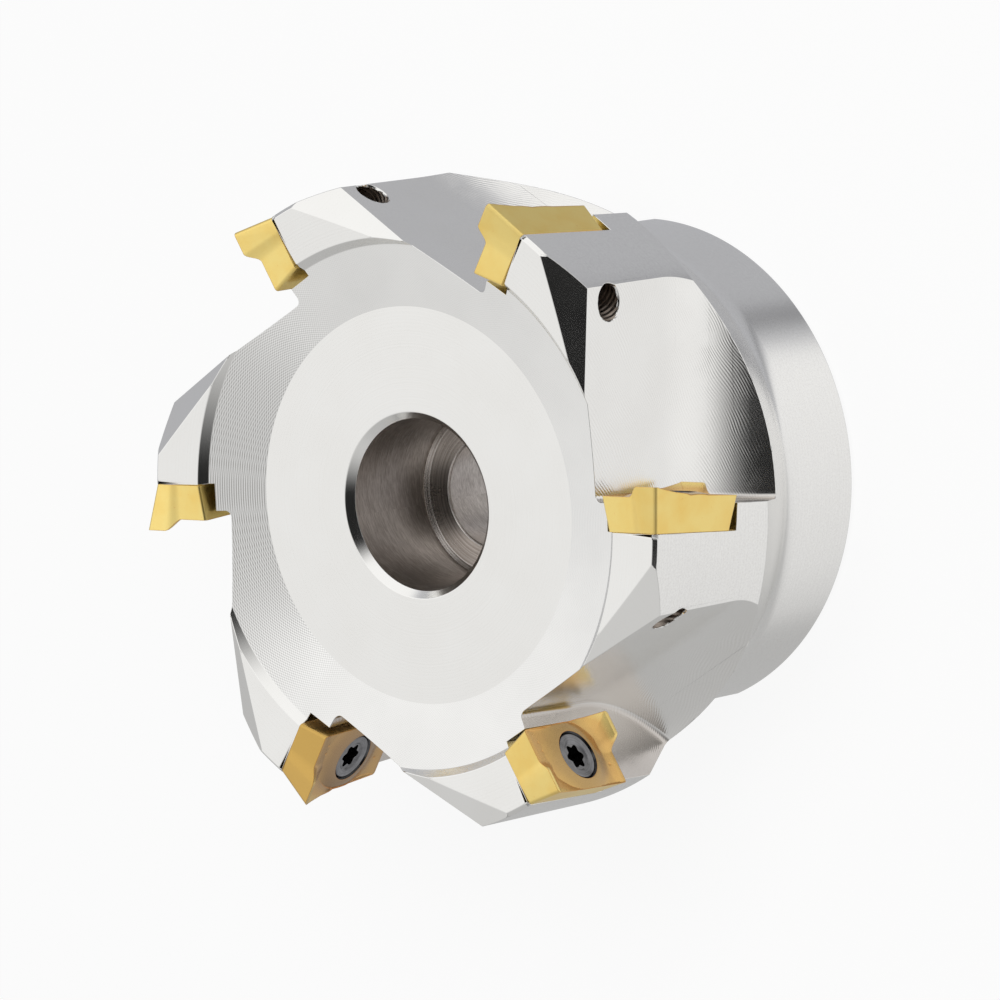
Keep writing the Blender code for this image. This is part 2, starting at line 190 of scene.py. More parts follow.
# Studio: levels of the cloths, with white at 1
BRIGHT_LEVEL = 0.93
SIDE_LEVEL = 0.49
OVER_LEVEL = 0.60
BACK_LEVEL = 0.48
BAND_LEVEL = 0.22
BLACK_LEVEL = 0.018
TENT_RADIUS = 2.0
WORLD_LIGHT = 0.45
FLOOR_SIZE = 3.0
FLOOR_GLOW = 0.88
LAMP_PLACE = (0.5, 0.3, 0.9)
LAMP_AIM = (0.0, 0.0, 0.02)
LAMP_POWER = 5.0
LAMP_SIZE = 0.6
LENS = 271.785
SENSOR_WIDTH = 36.0
CAMERA_FRAME = (
    (0.7503462470410193, 0.13002863820226218, 0.6481304365625201, 0.46302752),
    (-0.1727852479461432, 0.9849565187413911, 0.002431929486935068, 0.00087196),
    (-0.6380640780075678, -0.11381216734648722, 0.7615254578280674, 0.56881896),
    (0.0, 0.0, 0.0, 1.0))


# Node helpers

class Nodes:
    """A short way to write a material's nodes."""

    def __init__(self, tree):
        self.tree = tree

    def add(self, kind, inputs=None, **settings):
        node = self.tree.nodes.new(kind)
        for key, value in settings.items():
            setattr(node, key, value)
        for key, value in (inputs or {}).items():
            self.put(node.inputs[key], value)
        return node

    def put(self, socket, value):
        if isinstance(value, bpy.types.NodeSocket):
            self.tree.links.new(value, socket)
        else:
            socket.default_value = value

    def math(self, operation, first, second=0.0):
        node = self.add("ShaderNodeMath", operation=operation)
        for socket, value in zip(node.inputs, (first, second)):
            self.put(socket, value)
        return node.outputs[0]

    def noise(self, vector, scale, detail=2.0, roughness=0.5, dimensions="3D", w=None):
        node = self.add("ShaderNodeTexNoise", noise_dimensions=dimensions)
        if vector is not None:
            self.put(node.inputs["Vector"], vector)
        if w is not None:
            self.put(node.inputs["W"], w)
        node.inputs["Scale"].default_value = scale
        node.inputs["Detail"].default_value = detail
        node.inputs["Roughness"].default_value = roughness
        return node.outputs["Fac"]

    def ramp(self, value, low, high, out_low=0.0, out_high=1.0, smooth=False):
        node = self.add("ShaderNodeMapRange", interpolation_type="SMOOTHSTEP" if smooth else "LINEAR")
        for key, item in (("Value", value), ("From Min", low), ("From Max", high),
                          ("To Min", out_low), ("To Max", out_high)):
            self.put(node.inputs[key], item)
        return node.outputs["Result"]

    def mix(self, factor, first, second):
        node = self.add("ShaderNodeMix", data_type="RGBA")
        self.put(node.inputs["Factor"], factor)
        self.put(node.inputs[6], first)
        self.put(node.inputs[7], second)
        return node.outputs[2]

    def blend(self, factor, first, second):
        """Mix two levels."""
        return self.add("ShaderNodeMix", {"Factor": factor, 2: first, 3: second}).outputs[0]

    def length(self, x, y):
        """The distance of (x, y) from (0, 0)."""
        return self.math("SQRT", self.math("ADD", self.math("MULTIPLY", x, x), self.math("MULTIPLY", y, y)))

    def bump(self, height, distance, normal=None):
        node = self.add("ShaderNodeBump")
        self.put(node.inputs["Height"], height)
        node.inputs["Distance"].default_value = distance
        node.inputs["Strength"].default_value = 1.0
        if normal is not None:
            self.put(node.inputs["Normal"], normal)
        return node.outputs["Normal"]


def rgb(red, green, blue):
    """A display colour as a linear one."""
    def linear(value):
        return value / 12.92 if value <= 0.04045 else ((value + 0.055) / 1.055) ** 2.4
    return (linear(red), linear(green), linear(blue), 1.0)


NICKEL = (0.905, 0.898, 0.876, 1.0)
NICKEL_DULL = (0.875, 0.862, 0.832, 1.0)
GRAIN_DULL = (0.76, 0.745, 0.73, 1.0)
# Dull tone of the milled faces: random cloud, and painted shade in the grooves of the marks and towards the
# gullet's floor
MILLED_DULL_AND_SHADE = (0.56, 0.515, 0.475, 1.0)
# Light tone of the turned ring, and its dull tone: the dull one is mostly painted shade in the grooves of the
# marks, with a little random cloud
BRAID_LIGHT = (1.0, 0.995, 0.975, 1.0)
BRAID_DULL_AND_SHADE = (0.42, 0.41, 0.395, 1.0)
BORE_LIGHT = (0.82, 0.775, 0.735, 1.0)
BORE_DARK = (0.50, 0.46, 0.43, 1.0)
WEB_LIGHT = (0.92, 0.875, 0.84, 1.0)
WEB_DARK = (0.58, 0.54, 0.51, 1.0)
THREAD_LIGHT = (0.42, 0.36, 0.31, 1.0)
THREAD_DARK = (0.26, 0.22, 0.19, 1.0)
GOLD = rgb(0.995, 0.895, 0.565)
GOLD_DEEP = rgb(0.98, 0.84, 0.48)
# Shaded copy of the gold, for each insert's painted shade
GOLD_SHADED = rgb(0.83, 0.68, 0.38)
# Tan and khaki of the rake: partly the coating's own tone, partly painted reflection
GOLD_TAN = rgb(0.90, 0.72, 0.44)
GOLD_KHAKI = rgb(0.72, 0.60, 0.40)
# Shaded copy of the khaki, for each insert's painted shade
KHAKI_SHADED = rgb(0.62, 0.52, 0.41)
# Orange-brown of the random spots and of the edges; on the edges it is partly edge wear, partly painted shade
GOLD_EDGE = rgb(0.86, 0.55, 0.24)

# Painted shade on each insert: the share by which its coating colours are darkened
INSERT_SHADE = (0.1, 0.05, 0.0, 0.0, 1.0, 0.15)


def metal(name):
    """A new metal with its shader and helpers."""
    material = bpy.data.materials.new(name)
    material.use_nodes = True
    nodes = Nodes(material.node_tree)
    shader = material.node_tree.nodes["Principled BSDF"]
    shader.inputs["Metallic"].default_value = 1.0
    place = nodes.add("ShaderNodeTexCoord").outputs["Object"]
    return material, nodes, shader, place


def polar(nodes, place):
    """Distance from the cutter's axis, angle round it in radians, and height."""
    split = nodes.add("ShaderNodeSeparateXYZ", {"Vector": place})
    x, y, z = split.outputs
    return nodes.length(x, y), nodes.math("ARCTAN2", y, x), z


def seat_place_of(nodes):
    """A surface's place in its tooth's seat frame."""
    seat = nodes.add("ShaderNodeAttribute", attribute_type="GEOMETRY", attribute_name="seat")
    return nodes.add("ShaderNodeSeparateXYZ", {"Vector": seat.outputs["Vector"]}).outputs


def steel(name, marks=None, rough=(0.16, 0.24), light=NICKEL, dull=NICKEL_DULL, grain_height=0.0000007,
          clouds=0.5, speckle=0.0):
    """Nickel-plated steel. marks(nodes, place) gives a height in metres and a share of dullness, which on the
    ring and in the gullets is partly painted shade.

    rough is the least and most roughness. clouds and speckle are the dullness of the wide and the fine grain.
    """
    material, nodes, shader, place = metal(name)
    cloud = nodes.noise(place, 160.0, detail=5.0)
    grain = nodes.noise(place, 5200.0, detail=2.0)
    dullness = nodes.ramp(cloud, 0.35, 0.75, 0.0, clouds)
    if speckle:
        dullness = nodes.math("ADD", dullness, nodes.ramp(grain, 0.35, 0.65, 0.0, speckle))
    normal = nodes.bump(grain, grain_height)
    if marks:
        height, mark_tone_and_shade = marks(nodes, place)
        normal = nodes.bump(height, 1.0, normal)
        dullness = nodes.math("ADD", dullness, mark_tone_and_shade)
    nodes.put(shader.inputs["Base Color"], nodes.mix(dullness, light, dull))
    uneven = nodes.math("ADD", cloud, nodes.math("MULTIPLY", grain, 0.4))
    nodes.put(shader.inputs["Roughness"], nodes.ramp(uneven, 0.45, 0.95, rough[0], rough[1]))
    nodes.put(shader.inputs["Normal"], normal)
    return material


def ring_lines(nodes, value, pitch, height):
    """Even ridges across a running value."""
    wave = nodes.math("SINE", nodes.math("MULTIPLY", value, 2 * math.pi / pitch))
    return nodes.math("MULTIPLY", wave, height / 2)


def turning_fine(nodes, place):
    """Faint rings of a finish cut."""
    radius = polar(nodes, place)[0]
    fine = nodes.noise(None, 6000.0, detail=3.0, dimensions="1D", w=radius)
    rings = ring_lines(nodes, radius, DISC_RING_PITCH, DISC_RING_HEIGHT)
    lines = nodes.math("ADD", nodes.math("MULTIPLY", fine, DISC_MARK_HEIGHT), rings)
    return lines, nodes.ramp(fine, 0.35, 0.75, 0.0, 0.35)


def turning_braided(nodes, place):
    """Two sets of fine rings, a little off centre, that cross on one side and run together on the other. Their
    grooves are darkened with painted shade, most strongly on one side.
    """
    radius, angle = polar(nodes, place)[:2]
    facing = nodes.math("COSINE", nodes.math("SUBTRACT", angle, math.radians(BRAID_ANGLE)))
    offset = nodes.math("MULTIPLY", facing, BRAID_OFFSET)
    lines = []
    for operation in ("ADD", "SUBTRACT"):
        run = nodes.math(operation, radius, offset)
        lines.append(nodes.math("SINE", nodes.math("MULTIPLY", run, 2 * math.pi / BRAID_PITCH)))
    both = nodes.math("ADD", lines[0], lines[1])
    share = nodes.ramp(facing, 0.4, 0.97, 0.07, 1.0, True)
    fine = nodes.noise(None, 9000.0, detail=2.0, dimensions="1D", w=radius)
    deep = nodes.math("MULTIPLY", nodes.math("ADD", both, nodes.ramp(fine, 0.3, 0.7, -0.25, 0.25)), share)
    # The dullness darkens the grooves: painted shade
    return nodes.math("MULTIPLY", deep, BRAID_HEIGHT), nodes.ramp(deep, 0.8, -2.0, 0.0, 0.85)


def turning_side(nodes, place):
    """Fine rings on a turned outside."""
    radius, _, height = polar(nodes, place)
    run = nodes.math("ADD", height, radius)
    fine = nodes.noise(None, 7000.0, detail=3.0, dimensions="1D", w=run)
    return nodes.math("MULTIPLY", fine, SIDE_MARK_HEIGHT), nodes.ramp(fine, 0.4, 0.8, 0.0, 0.3)


def bore_marks(nodes, place):
    """Brushed scratches round a bore."""
    radius, angle, height = polar(nodes, place)
    around = nodes.math("MULTIPLY", angle, 0.0011)
    slant = nodes.math("ADD", height, nodes.math("MULTIPLY", angle, 0.0015))
    inward = nodes.math("MULTIPLY", radius, 0.6)
    vector = nodes.add("ShaderNodeCombineXYZ", {"X": around, "Y": slant, "Z": inward})
    fine = nodes.noise(vector.outputs[0], 8500.0, detail=4.0, roughness=0.7)
    wide = nodes.noise(vector.outputs[0], 1100.0, detail=3.0)
    streaks = nodes.math("ADD", nodes.math("MULTIPLY", fine, 0.75), nodes.math("MULTIPLY", wide, 0.25))
    return nodes.math("MULTIPLY", fine, BORE_MARK_HEIGHT), nodes.ramp(streaks, 0.38, 0.62, 0.0, 1.0)


def bore_rings(nodes, place):
    """Rings on a bore's flat end."""
    radius, _, height = polar(nodes, place)
    fine = nodes.noise(None, 5000.0, detail=4.0, dimensions="1D", w=nodes.math("ADD", radius, height))
    return nodes.math("MULTIPLY", fine, BORE_RING_HEIGHT), nodes.ramp(fine, 0.3, 0.7)


def step_rings(nodes, place):
    """Faint rings on a step or a chamfer."""
    radius, _, height = polar(nodes, place)
    fine = nodes.noise(None, 7000.0, detail=3.0, dimensions="1D", w=nodes.math("ADD", radius, height))
    return nodes.math("MULTIPLY", fine, STEP_MARK_HEIGHT), nodes.ramp(fine, 0.4, 0.8, 0.0, 0.3)


def mill_marks(nodes, place):
    """Slanted feed marks of the end mill, bundled, on the gullet's wall and floor. Their grooves, and the
    floor with its rounded corner, are darkened with painted shade.
    """
    x, y, z = seat_place_of(nodes)
    ahead = nodes.math("ADD", x, GULLET_ARC_START)
    below = nodes.math("SUBTRACT", GULLET_ARC_RADIUS - GULLET_WALL, y)
    run = nodes.math("MULTIPLY", nodes.math("ARCTAN2", ahead, below), GULLET_ARC_RADIUS)
    sway = nodes.noise(place, 160.0, detail=1.0)
    slant = nodes.math("SUBTRACT", run, nodes.math("MULTIPLY", z, MILL_SLANT))
    moved = nodes.math("ADD", slant, nodes.math("MULTIPLY", sway, MILL_SWAY))
    bundle = nodes.ramp(nodes.noise(place, 420.0, detail=2.0), 0.38, 0.62, 0.25, 1.0)
    ridges = nodes.math("MULTIPLY", ring_lines(nodes, moved, MILL_PITCH, MILL_HEIGHT), bundle)
    speckle = nodes.math("MULTIPLY", nodes.noise(place, 6500.0, detail=2.0), SPECKLE_HEIGHT)
    # Painted shade: darker towards the gullet's floor and its rounded corner
    floor_shade = nodes.ramp(z, GULLET_FLOOR + 0.0006, GULLET_FLOOR + 0.0001, 0.0, 0.75, True)
    dull = nodes.math("ADD", nodes.ramp(ridges, MILL_HEIGHT / 2, -MILL_HEIGHT / 2, 0.0, 0.12), floor_shade)
    return nodes.math("ADD", ridges, speckle), dull


def ground_marks(nodes, _):
    """Fine straight lines of a finishing mill on a seat or a facet."""
    x, y, z = seat_place_of(nodes)
    across = nodes.math("ADD", nodes.math("MULTIPLY", x, 0.8), nodes.math("MULTIPLY", y, 0.6))
    fine = nodes.noise(None, 5500.0, detail=3.0, dimensions="1D", w=nodes.math("ADD", across, z))
    return nodes.math("MULTIPLY", fine, GROUND_MARK_HEIGHT), nodes.ramp(fine, 0.4, 0.8, 0.0, 0.25)


# Shapes

def arc(centre, radius, start, end, steps):
    """Points on an arc from one angle to another, both ends kept."""
    points = []
    for step in range(steps + 1):
        angle = math.radians(start + (end - start) * step / steps)
        points.append((centre[0] + radius * math.cos(angle), centre[1] + radius * math.sin(angle)))
    return points


def finish(shape, name):
    bmesh.ops.recalc_face_normals(shape, faces=shape.faces)
    mesh = bpy.data.meshes.new(name)
    shape.to_mesh(mesh)
    shape.free()
    return mesh


def turned(outline, steps, slots=None):
    """Turn an outline of (radius, height) points about Z. slots gives a material slot for each stretch."""
    shape = bmesh.new()
    closed = min(outline[0][0], outline[-1][0]) > 0
    count = len(outline)
    rings = []
    for step in range(steps):
        angle = 2 * math.pi * step / steps
        ring = []
        for index, (radius, height) in enumerate(outline):
            if radius == 0 and step:
                ring.append(rings[0][index])
            else:
                ring.append(shape.verts.new((radius * math.cos(angle), radius * math.sin(angle), height)))
        rings.append(ring)
    for step in range(steps):
        here, after = rings[step], rings[(step + 1) % steps]
        for index in range(count if closed else count - 1):
            follow = (index + 1) % count
            corners = []
            for point in (here[index], here[follow], after[follow], after[index]):
                if point not in corners:
                    corners.append(point)
            if len(corners) > 2:
                face = shape.faces.new(corners)
                face.material_index = slots[index] if slots else 0
    return shape


def lofted(rings):
    """Bridge closed rings of points, one above the other, and cap both ends."""
    shape = bmesh.new()
    loops = [[shape.verts.new(point) for point in ring] for ring in rings]
    count = len(loops[0])
    for lower, upper in zip(loops, loops[1:]):
        for index in range(count):
            after = (index + 1) % count
            shape.faces.new((lower[index], lower[after], upper[after], upper[index]))
    shape.faces.new(reversed(loops[0]))
    shape.faces.new(loops[-1])
    return shape


def copies(shape, places):
    """One shape that holds a copy of another at each place."""
    single = finish(shape, "single")
    pattern = bmesh.new()
    for place in places:
        first = len(pattern.verts)
        pattern.from_mesh(single)
        pattern.verts.ensure_lookup_table()
        bmesh.ops.transform(pattern, matrix=place, verts=pattern.verts[first:])
    bpy.data.meshes.remove(single)
    return pattern


def add_object(name, mesh, *materials):
    """Link a mesh to the scene with its materials."""
    item = bpy.data.objects.new(name, mesh)
    bpy.context.scene.collection.objects.link(item)
    for material in materials:
        mesh.materials.append(material)
    return item


def smooth(mesh):
    mesh.shade_smooth()
    mesh.set_sharp_from_angle(angle=math.radians(SHARP_ANGLE))


def cut(item, name, shape, material):
    """Cut a shape from an object. The cut faces take the cutter's material."""
    cutter = add_object(name, finish(shape, name), material)
    cutter.hide_render = True
    modifier = item.modifiers.new(name, "BOOLEAN")
    modifier.operation = "DIFFERENCE"
    modifier.solver = "EXACT"
    modifier.material_mode = "TRANSFER"
    modifier.object = cutter


def settle(item):
    """Make an object's cuts, and remove the cutters."""
    graph = bpy.context.evaluated_depsgraph_get()
    mesh = bpy.data.meshes.new_from_object(item.evaluated_get(graph))
    used = [modifier.object for modifier in item.modifiers if modifier.type == "BOOLEAN"]
    item.modifiers.clear()
    old = item.data
    item.data = mesh
    mesh.name = old.name
    for done in used:
        bpy.data.objects.remove(done)
    bpy.data.meshes.remove(old)
    return item


def tooth_place(index):
    """A tooth's own frame: X is radial, Z is the cutter's axis."""
    return Matrix.Rotation(math.radians(FIRST_TOOTH_ANGLE + 360.0 * index / TOOTH_COUNT), 4, "Z")


def seat_place():
    """The insert seat in its tooth's frame: X runs forward, Y outward and Z up from the seat."""
    upright = Matrix(((0, 1, 0), (0, 0, 1), (1, 0, 0))).to_4x4()
    turn = Matrix.Rotation(math.radians(-RADIAL_RAKE), 4, "Z")
    turn = turn @ Matrix.Rotation(math.radians(-AXIAL_RAKE), 4, "X") @ upright
    tip = Vector((math.sqrt((CUTTING_DIAMETER / 2) ** 2 - NOSE_LEAD ** 2), NOSE_LEAD, CUTTER_HEIGHT))
    return Matrix.Translation(tip - turn @ Vector((NOSE_LENGTH, NOSE_WIDTH, NOSE_HEIGHT))) @ turn


TEETH = [tooth_place(index) for index in range(TOOTH_COUNT)]
SEATS = [place @ seat_place() for place in TEETH]


def neck_curve():
    """The centre of the neck's fillet, and the height at which the neck's cone starts."""
    neck_end = HUB_RADIUS + NECK_FILLET * (1 - math.cos(math.radians(NECK_ANGLE)))
    cone_start = LAND_REAR - (LAND_RADIUS - neck_end) / math.tan(math.radians(NECK_ANGLE))
    level = cone_start - NECK_FILLET * math.sin(math.radians(NECK_ANGLE))
    return (HUB_RADIUS + NECK_FILLET, level), cone_start


def outside_normal(point, level):
    """The exact normal of the turned outside at a point of a face whose middle is at that level."""
    centre, cone_start = neck_curve()
    radius = math.hypot(point.x, point.y)
    if level > LAND_REAR or level < centre[1]:
        outward, up = 1.0, 0.0
    elif level > cone_start:
        outward, up = math.cos(math.radians(NECK_ANGLE)), -math.sin(math.radians(NECK_ANGLE))
    else:
        outward, up = centre[0] - radius, centre[1] - point.z
    return Vector((outward * point.x / radius, outward * point.y / radius, up)).normalized()


def settle_normals(mesh):
    """Give the hub, the neck and the land their exact normals, which the cuts would disturb."""
    normals = [corner.vector.copy() for corner in mesh.corner_normals]
    for face in mesh.polygons:
        if face.material_index > 1:
            continue
        for loop in face.loop_indices:
            exact = outside_normal(mesh.vertices[mesh.loops[loop].vertex_index].co, face.center.z)
            if exact.dot(face.normal) > math.cos(math.radians(NORMAL_LIMIT)):
                normals[loop] = exact
    mesh.normals_split_custom_set(normals)


def body_shape():
    """The turned blank, with a material slot for each stretch.

    Slots: 0 outside, 1 land, 2 rim, 3 step, 4 ring, 5 disc, 6 bore, 7 bore end, 8 web hole.
    """
    floor = DISC_HEIGHT - COUNTERBORE_DEPTH
    fillet = arc(neck_curve()[0], NECK_FILLET, 180.0, 180.0 - NECK_ANGLE, FILLET_STEPS)
    stretches = [
        ((ARBOR_BORE_RADIUS + ARBOR_BORE_CHAMFER, 0.0), 0),
        ((HUB_RADIUS - HUB_EDGE_CHAMFER, 0.0), 0),
        ((HUB_RADIUS, HUB_EDGE_CHAMFER), 0),
    ]
    stretches += [(point, 0) for point in fillet]
    stretches += [
        ((LAND_RADIUS, LAND_REAR), 1),
        ((LAND_RADIUS, RIM_HEIGHT - LAND_EDGE_CHAMFER), 2),
        ((LAND_RADIUS - LAND_EDGE_CHAMFER, RIM_HEIGHT), 2),
        (STEP_TOP, 3),
        (STEP_FOOT, 4),
        ((DISC_RADIUS, DISC_HEIGHT), 5),
        ((COUNTERBORE_RADIUS + COUNTERBORE_CHAMFER, DISC_HEIGHT), 3),
        ((COUNTERBORE_RADIUS, DISC_HEIGHT - COUNTERBORE_CHAMFER), 6),
        ((COUNTERBORE_RADIUS, floor + COUNTERBORE_FILLET), 7),
        ((COUNTERBORE_RADIUS - COUNTERBORE_FILLET, floor), 7),
        ((WEB_HOLE_RADIUS + WEB_CHAMFER, floor), 8),
        ((WEB_HOLE_RADIUS, floor - WEB_CHAMFER), 8),
        ((WEB_HOLE_RADIUS, ARBOR_BORE_DEPTH), 7),
        ((ARBOR_BORE_RADIUS, ARBOR_BORE_DEPTH), 6),
        ((ARBOR_BORE_RADIUS, ARBOR_BORE_CHAMFER), 3),
    ]
    return turned([point for point, slot in stretches], TURN_STEPS, [slot for point, slot in stretches])


def drive_slot():
    """The slot across the rear face, with broken edges and rounded bottom corners."""
    half = SLOT_WIDTH / 2
    corner = half - SLOT_FILLET
    rim = half + SLOT_CHAMFER
    section = [(-rim - OVERRUN, -OVERRUN), (-rim, 0.0), (-half, SLOT_CHAMFER)]
    section += arc((-corner, SLOT_DEPTH - SLOT_FILLET), SLOT_FILLET, 180.0, 90.0, FILLET_STEPS)
    section += arc((corner, SLOT_DEPTH - SLOT_FILLET), SLOT_FILLET, 90.0, 0.0, FILLET_STEPS)
    section += [(half, SLOT_CHAMFER), (rim, 0.0), (rim + OVERRUN, -OVERRUN)]
    reach = HUB_RADIUS + OVERRUN
    return lofted([[(x, y, z) for x, z in section] for y in (-reach, reach)])


def gullet():
    """One tooth's chip gullet, milled square to the seat, with a rounded corner at its floor."""
    run_out = math.degrees(math.acos(1 - (GULLET_WALL + BLOCK_WIDE) / GULLET_ARC_RADIUS))
    centre = (-GULLET_ARC_START, GULLET_ARC_RADIUS - GULLET_WALL)
    plan = [(BLOCK_FRONT, BLOCK_WIDE), (BLOCK_FRONT, -GULLET_WALL)]
    plan += arc(centre, GULLET_ARC_RADIUS, -90.0, -90.0 - run_out, ARC_STEPS)
    rings = []
    corner = (GULLET_CORNER_RADIUS, GULLET_CORNER_RADIUS)
    for amount, rise in arc(corner, GULLET_CORNER_RADIUS, 270.0, 180.0, FILLET_STEPS):
        moved = [plan[0], (plan[1][0], plan[1][1] + amount)]
        for before, point in zip(plan[1:], plan[2:]):
            along = (Vector(point) - Vector(before)).normalized()
            moved.append((point[0] + along.y * amount, point[1] - along.x * amount))
        rings.append([(x, y, GULLET_FLOOR + rise) for x, y in moved])
    rings.append([(x, y, GULLET_FLOOR + CUTTING_DIAMETER / 2.6) for x, y in plan])
    return lofted(rings)


def pocket():
    """The insert's pocket: a floor under its base, and walls behind its inner side and its heel."""
    level = GULLET_FLOOR - FIT_GAP / 2
    wall = -BASE_WIDTH / 2 - SIDE_SLOPE * level - POCKET_WALL_GAP + SIDE_SLOPE * level / 2
    end = -BASE_LENGTH / 2 - END_SLOPE * level - POCKET_END_GAP
    plan = [(BLOCK_FRONT, BLOCK_WIDE), (BLOCK_FRONT, wall), (end + POCKET_CORNER_RELIEF, wall)]
    plan += arc((end + POCKET_CORNER_RELIEF / 2, wall + POCKET_CORNER_RELIEF / 2),
                POCKET_CORNER_RELIEF / math.sqrt(2), -45.0, -225.0, 2 * FILLET_STEPS)
    plan += [(end, wall + POCKET_CORNER_RELIEF), (end, BLOCK_WIDE)]
    return lofted([[(x, y, z) for x, y in plan] for z in (POCKET_FLOOR, NOSE_HEIGHT + OVERRUN)])


def tapped_hole():
    """The screw's hole: clear round the screw, then threaded out to the back of the tooth."""
    screw_end = BOSS_HEIGHT - FIT_GAP - SCREW_LENGTH - 2 * FIT_GAP
    turns = int((screw_end + HOLE_REACH) / THREAD_PITCH)
    outline = [(0.0, -HOLE_REACH)]
    for turn in range(turns):
        height = -HOLE_REACH + turn * THREAD_PITCH
        outline += [(THREAD_RADIUS, height), (THREAD_RADIUS + THREAD_DEPTH, height + THREAD_PITCH / 2)]
    outline += [(THREAD_RADIUS, screw_end), (SHANK_HOLE_RADIUS, screw_end), (SHANK_HOLE_RADIUS, OVERRUN)]
    outline.append((0.0, OVERRUN))
    return turned(outline, HOLE_STEPS)


def hole_mouth():
    """The chamfer round a screw's hole where it comes out slantwise at the back of its tooth."""
    rings = []
    for wider, deeper in (MOUTH_OUTSIDE, MOUTH_INSIDE):
        circle = arc((0.0, 0.0), THREAD_RADIUS + wider, 0.0, 360.0, HOLE_STEPS)[:-1]
        rings.append([(x, y, MOUTH_PLANE[0] * x + MOUTH_PLANE[1] * y + MOUTH_PLANE[2] + deeper)
                      for x, y in circle])
    return lofted(rings)


def facet():
    """The relief facet behind a tooth's front face, as a block that rests on the facet's plane."""
    turn = Matrix.Rotation(math.radians(FACET_TURN), 4, "Z")
    turn = turn @ Matrix.Rotation(math.radians(FACET_TILT), 4, "Y")
    angle = math.radians(FACET_ANGLE)
    corner = Vector((LAND_RADIUS * math.cos(angle), LAND_RADIUS * math.sin(angle), RIM_HEIGHT))
    long = CUTTING_DIAMETER / 4
    short = CUTTING_DIAMETER / 12
    plan = [(-short, -long), (1.6 * short, -long), (1.6 * short, short), (-short, short)]
    shape = lofted([[(x, y, z) for x, y in plan] for z in (0.0, short)])
    bmesh.ops.transform(shape, matrix=Matrix.Translation(corner) @ turn, verts=shape.verts)
    return shape


def insert_outline(height):
    """The insert's outline at one height. Each end folds back from its nose to its heel."""
    length = BASE_LENGTH / 2 + END_SLOPE * height - HONE
    width = BASE_WIDTH / 2 + SIDE_SLOPE * height - HONE
    back = HEEL_SETBACK * height / HEEL_HEIGHT
    half = arc((length - NOSE_RADIUS, width - NOSE_RADIUS), NOSE_RADIUS, 0.0, 90.0, ROUND_STEPS)
    half += arc((back - length + HEEL_RADIUS, width - HEEL_RADIUS), HEEL_RADIUS, 90.0, 180.0, ROUND_STEPS)
    for step in range(ROUND_STEPS + 1):
        share = step / ROUND_STEPS
        half.append((back * (1 - ease(share)) - length, mix(-NOSE_STEP_INNER, -NOSE_STEP_OUTER, share)))
    return [(x, y, height) for x, y in half] + [(-x, -y, height) for x, y in half]


def ease(value):
    value = min(max(value, 0.0), 1.0)
    return value * value * (3 - 2 * value)


def mix(low, high, share):
    return low + (high - low) * share


def falling(distance, width, power=1.3):
    """The share of an edge's height that is left at a distance inside it."""
    return max(0.0, 1 - distance / width) ** power


def edge_ridge(along, across):
    """How far one long edge and its nose stand above the chip floor at a point."""
    run = min(max((along + NOSE_LENGTH) / (2 * NOSE_LENGTH), 0.0), 1.0)
    rise = ease((across - NOSE_STEP_INNER) / (NOSE_STEP_OUTER - NOSE_STEP_INNER))
    end_height = mix(HEEL_HEIGHT, NOSE_HEIGHT, rise)
    fold = HEEL_SETBACK * end_height / HEEL_HEIGHT * (1 - rise)
    from_end = max(BASE_LENGTH / 2 + END_SLOPE * end_height - fold - along, 0.0)
    inside = max(from_end - END_FLAT, 0.0)
    from_rear = max(BASE_LENGTH / 2 + END_SLOPE * HEEL_HEIGHT + along, 0.0)
    height = mix(HEEL_HEIGHT, NOSE_HEIGHT, run)
    from_side = max(BASE_WIDTH / 2 + SIDE_SLOPE * height - across, 0.0)
    reach = min(max(across / NOSE_WIDTH, 0.0), 1.0)
    land = mix(END_LAND_STEP, END_LAND_NOSE, reach)
    crest = height - FLOOR_HEIGHT - NOSE_DROP * run * (1 - falling(inside, land, 1.0))
    widen = ease((along - SIDE_LAND_START) / (NOSE_LENGTH - SIDE_LAND_START))
    side = crest * falling(from_side, mix(SIDE_LAND_HEEL, SIDE_LAND_NOSE, widen))
    land = mix(END_LAND_STEP, END_LAND_HEEL, min(max(-across / NOSE_WIDTH, 0.0), 1.0)) if across < 0 else land
    end = (end_height - FLOOR_HEIGHT) * falling(inside, land, 1.6)
    heel = (HEEL_HEIGHT - FLOOR_HEIGHT) * falling(from_rear, END_LAND_HEEL, 1.0)
    return max(side, end, heel)


def dimple(along, across):
    """The depth of the small round marks beside the hole."""
    depth = 0.0
    for place in DIMPLES:
        distance = math.hypot(along - place[0], across - place[1])
        depth = max(depth, DIMPLE_DEPTH * (1 - ease(distance / DIMPLE_RADIUS)))
    return depth


def rake_height(along, across):
    """The height of the pressed rake face above the insert's base."""
    from_rim = (math.hypot(along, across) - INSERT_HOLE_RADIUS) / INSERT_HOLE_RADIUS
    boss = (BOSS_HEIGHT - FLOOR_HEIGHT) * (1 - ease(from_rim / BOSS_SPREAD))
    ridge = max(edge_ridge(along, across), edge_ridge(-along, -across))
    return FLOOR_HEIGHT + max(ridge, boss) - dimple(along, across)


def rake_punch():
    """The punch that presses the chip-breaker."""
    shape = bmesh.new()
    bmesh.ops.create_grid(shape, x_segments=RAKE_CELLS[0], y_segments=RAKE_CELLS[1], size=1.0)
    for point in shape.verts:
        along = point.co.x * (NOSE_LENGTH + FIT_GAP)
        across = point.co.y * (NOSE_WIDTH + FIT_GAP)
        point.co = (along, across, rake_height(along, across))
    bmesh.ops.triangulate(shape, faces=shape.faces)
    raised = bmesh.ops.extrude_face_region(shape, geom=shape.faces[:])
    for point in [item for item in raised["geom"] if isinstance(item, bmesh.types.BMVert)]:
        point.co.z = NOSE_HEIGHT + 2 * OVERRUN
    return shape


